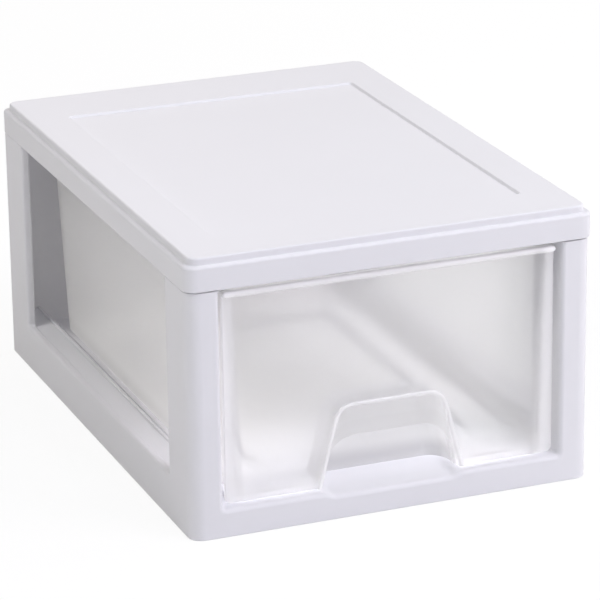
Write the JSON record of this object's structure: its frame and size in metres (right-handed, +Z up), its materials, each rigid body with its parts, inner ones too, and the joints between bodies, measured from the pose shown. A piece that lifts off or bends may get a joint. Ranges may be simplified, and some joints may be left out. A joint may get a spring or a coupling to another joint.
{
  "type": "stackable drawer box",
  "caption": "Stackable craft and parts box: open-sided frame, clip-on cover with a raised stacking face, and a translucent drawer with an arched finger pull.",
  "frame": {"origin": "middle of the footprint at the level of the bottom rim, on the ground", "axes": "+X to the right as seen from the front, +Y to the back, +Z up"},
  "size_m": [0.26, 0.36, 0.175],
  "materials": {
    "cover_plastic": "white moulded plastic with a fine satin grain",
    "frame_plastic": "white moulded plastic with a fine satin grain",
    "drawer_plastic": "frosted translucent moulded plastic, smooth outside"
  },
  "bodies": {
    "box": {"frame_body": "frame_plastic", "top_cover": "cover_plastic"},
    "drawer": {"drawer": "drawer_plastic"}
  },
  "joints": [
    {"name": "drawer_slide", "type": "slide", "parent": "box", "child": "drawer", "axis": [0, -1, 0], "range_m": [0, 0.26]}
  ]
}
